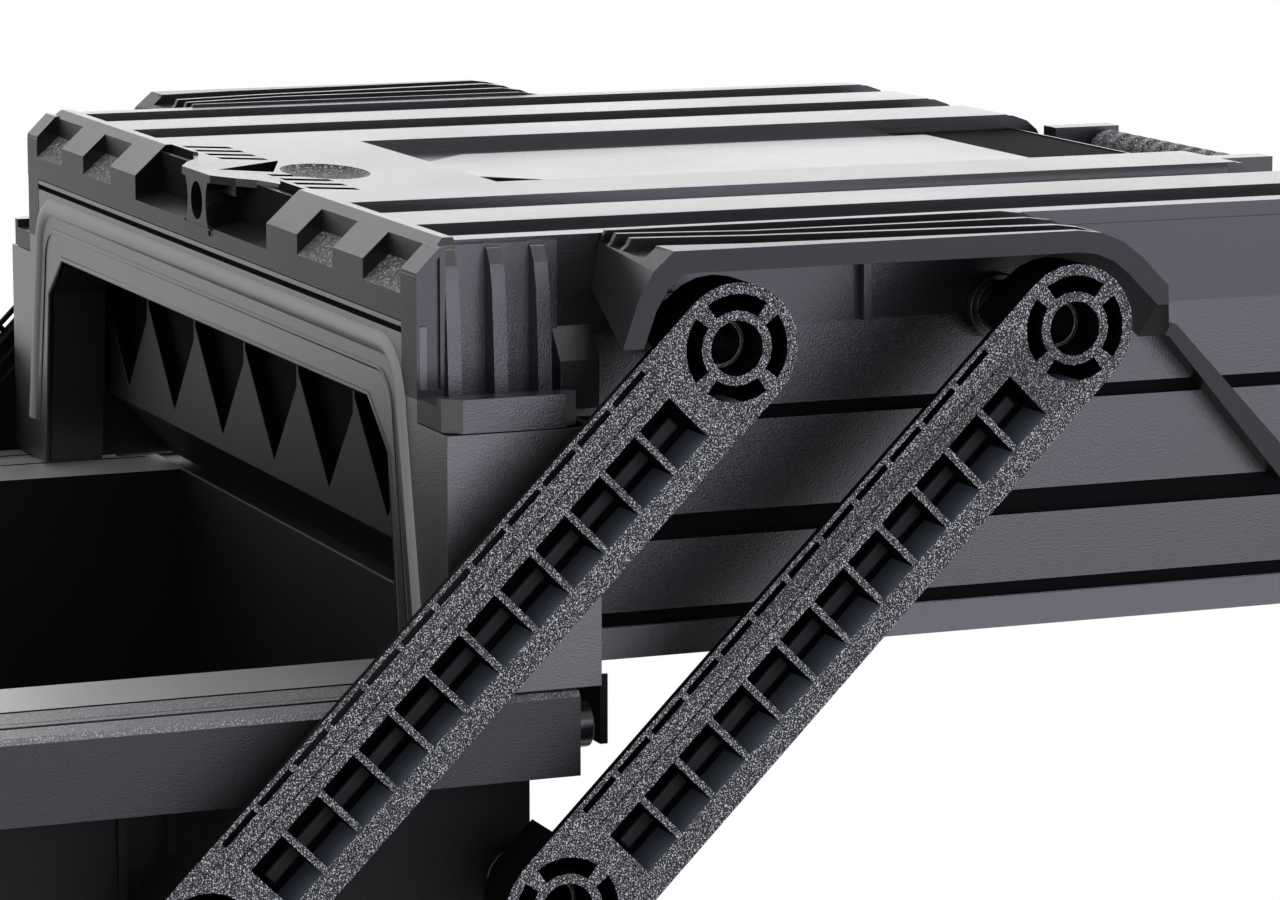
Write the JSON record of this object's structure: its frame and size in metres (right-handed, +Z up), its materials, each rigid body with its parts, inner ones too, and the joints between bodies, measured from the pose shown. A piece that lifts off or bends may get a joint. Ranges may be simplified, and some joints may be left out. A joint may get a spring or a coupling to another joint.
{
  "type": "rolling cantilever toolbox",
  "caption": "Wheeled plastic toolbox with a deep bin and a ridged cover that swings up and back on lattice cantilever arms; has a pull handle and a hasp.",
  "frame": {"origin": "on the floor under the middle of the outline of the open toolbox", "axes": "+Z up, -Y towards the front panel and pull handle, +X towards the right side"},
  "size_m": [0.64, 0.8962, 0.4],
  "materials": {
    "shell": "satin fine grain",
    "grained": "coarse leather grain",
    "smooth_panel": "smooth",
    "seal": "matte",
    "tyre": "matte",
    "steel": "zinc plated"
  },
  "bodies": {
    "base": {"bin": "shell", "front_panel": "shell", "latch_pin": "steel", "side_skirt_left": "shell", "side_skirt_right": "shell", "guide_tube_left": "steel", "guide_tube_right": "steel", "axle_left": "steel", "axle_right": "steel", "front_foot_left": "tyre", "front_foot_right": "tyre", "front_lower_pin_left": "shell", "front_lower_pin_right": "shell", "rear_lower_pin_left": "shell", "rear_lower_pin_right": "shell"},
    "rear_arms": {"rear_arm_left": "grained", "rear_arm_right": "grained"},
    "front_arms": {"front_arm_left": "grained", "front_arm_right": "grained"},
    "cover": {"lid": "shell", "cover_walls": "shell", "arch_frame": "shell", "arch_gasket": "seal", "cross_rail": "shell", "deck_panel": "smooth_panel", "rear_grip": "grained", "arm_hood_left": "shell", "arm_hood_right": "shell", "front_upper_pin_left": "shell", "front_upper_pin_right": "shell", "rear_upper_pin_left": "shell", "rear_upper_pin_right": "shell"},
    "wheel_left": {"tyre_left": "tyre", "wheel_hub_left": "grained"},
    "wheel_right": {"tyre_right": "tyre", "wheel_hub_right": "grained"},
    "pull_handle": {"handle_grip": "grained", "handle_rod_left": "steel", "handle_rod_right": "steel"},
    "release_button": {"handle_button": "seal"},
    "hasp": {"latch": "grained"}
  },
  "joints": [
    {"name": "rear_arm_swing", "type": "hinge", "parent": "base", "child": "rear_arms", "pos_m": [0, 0.02945, 0.16601], "axis": [1, 0, 0], "range_deg": [0, 90]},
    {"name": "front_arm_swing", "type": "hinge", "parent": "base", "child": "front_arms", "pos_m": [0, -0.10385, 0.16601], "axis": [1, 0, 0], "range_deg": [0, 90]},
    {"name": "cover_swing", "type": "hinge", "parent": "rear_arms", "child": "cover", "pos_m": [0, 0.22744, 0.364], "axis": [1, 0, 0], "range_deg": [-90, 0]},
    {"name": "wheel_left_spin", "type": "hinge", "parent": "base", "child": "wheel_left", "pos_m": [-0.239, 0.02516, 0.085], "axis": [1, 0, 0], "continuous": true},
    {"name": "wheel_right_spin", "type": "hinge", "parent": "base", "child": "wheel_right", "pos_m": [0.239, 0.02516, 0.085], "axis": [1, 0, 0], "continuous": true},
    {"name": "handle_pull", "type": "slide", "parent": "base", "child": "pull_handle", "axis": [0, -1, 0], "range_m": [0, 0.3]},
    {"name": "release_press", "type": "slide", "parent": "pull_handle", "child": "release_button", "axis": [0, 0, -1], "range_m": [0, 0.003], "stiffness_N_per_m": 400},
    {"name": "hasp_swing", "type": "hinge", "parent": "base", "child": "hasp", "pos_m": [0, -0.41414, 0.325], "axis": [1, 0, 0], "range_deg": [0, 160]}
  ],
  "couplings": [
    {"joint": "front_arm_swing", "follows": "rear_arm_swing", "ratio": 1},
    {"joint": "cover_swing", "follows": "rear_arm_swing", "ratio": -1}
  ]
}
